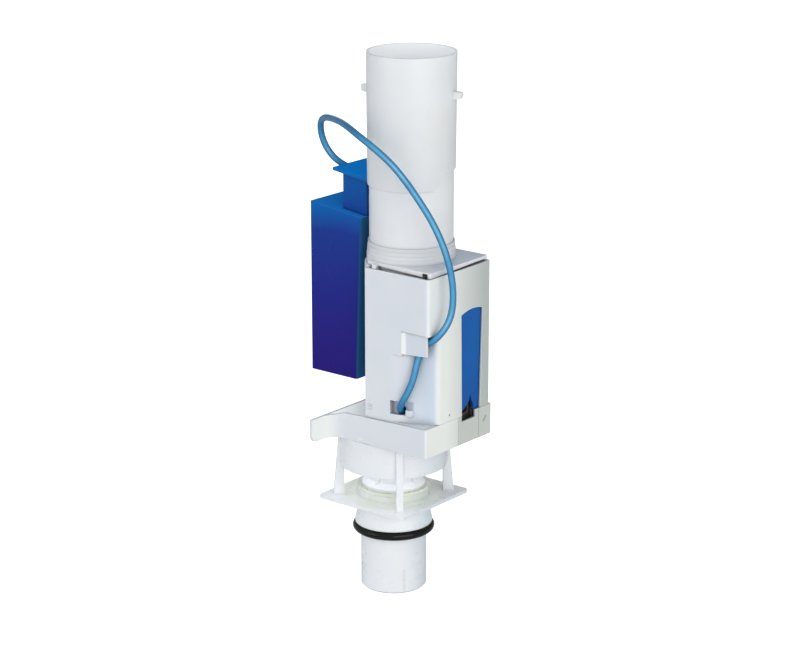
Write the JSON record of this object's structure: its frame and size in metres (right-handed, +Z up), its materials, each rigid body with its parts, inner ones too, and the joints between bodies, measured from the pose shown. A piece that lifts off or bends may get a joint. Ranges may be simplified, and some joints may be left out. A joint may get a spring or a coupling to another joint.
{
  "type": "toilet flush valve",
  "caption": "Pneumatic toilet flush valve with an offset telescopic overflow tube, hanging float, volume slider, air hose and a square seat plate with an outlet spigot.",
  "frame": {"origin": "axis of the outlet spigot at the underside of the seat plate", "axes": "+Z up along the spigot and the tube, +X towards the face with the volume slider, -Y towards the face with the hose hood"},
  "size_m": [0.1288, 0.0947, 0.3745],
  "materials": {
    "natural_plastic": "milky natural polypropylene, slightly translucent",
    "white_plastic": "moulded white plastic, satin",
    "inner_plastic": "moulded off-white plastic, satin",
    "float_blue": "moulded royal-blue plastic, satin",
    "slider_blue": "moulded blue plastic, satin",
    "hose_blue": "clear light-blue flexible tubing",
    "black_rubber": "smooth black rubber",
    "seal_silicone": "translucent greenish silicone",
    "pin_steel": "bright stainless steel"
  },
  "bodies": {
    "base": {"valve_base": "natural_plastic", "outlet_o_ring": "black_rubber"},
    "casing": {"base_skirt": "white_plastic", "housing": "white_plastic", "rear_cover": "white_plastic", "top_plate": "natural_plastic", "lower_side_cover": "white_plastic", "side_latch": "white_plastic", "bellows_cup": "inner_plastic", "bellows_clamp_ring": "inner_plastic", "lever_bracket": "inner_plastic", "lever_pin": "pin_steel", "lever_pin_clips": "pin_steel", "hose_elbow": "inner_plastic", "air_hose": "hose_blue", "float_rail": "white_plastic"},
    "valve": {"valve_stem": "natural_plastic", "lower_tube": "natural_plastic", "tube_o_ring": "black_rubber", "valve_disc": "natural_plastic", "valve_seal": "seal_silicone", "seal_retainer": "natural_plastic"},
    "sleeve": {"overflow_sleeve": "natural_plastic"},
    "float": {"float_body": "float_blue", "float_cap": "float_blue"},
    "slider": {"volume_slider": "slider_blue"},
    "lever": {"lift_lever": "inner_plastic"},
    "lifter": {"lifter_plate": "inner_plastic", "bellows": "black_rubber"}
  },
  "joints": [
    {"name": "casing_twist", "type": "hinge", "parent": "base", "child": "casing", "pos_m": [0, 0, 0.045], "axis": [0, 0, 1], "range_deg": [0, 18]},
    {"name": "valve_lift", "type": "slide", "parent": "casing", "child": "valve", "axis": [0, 0, 1], "range_m": [0, 0.012]},
    {"name": "sleeve_height", "type": "slide", "parent": "valve", "child": "sleeve", "axis": [0, 0, 1], "range_m": [0, 0.03]},
    {"name": "float_lift", "type": "slide", "parent": "casing", "child": "float", "axis": [0, 0, 1], "range_m": [0, 0.012]},
    {"name": "slider_set", "type": "slide", "parent": "casing", "child": "slider", "axis": [0, 0, 1], "range_m": [-0.012, 0.008]},
    {"name": "lever_tilt", "type": "hinge", "parent": "casing", "child": "lever", "pos_m": [0.045, 0, 0.088], "axis": [0, 1, 0], "range_deg": [0, 15.2]},
    {"name": "bellows_lift", "type": "slide", "parent": "casing", "child": "lifter", "axis": [0, 0, 1], "range_m": [0, 0.0032], "deforming": ["bellows"]}
  ],
  "couplings": [
    {"joint": "float_lift", "follows": "valve_lift", "ratio": 1},
    {"joint": "lever_tilt", "follows": "valve_lift", "rad_per_m": 22.09},
    {"joint": "bellows_lift", "follows": "valve_lift", "ratio": 0.2665}
  ]
}
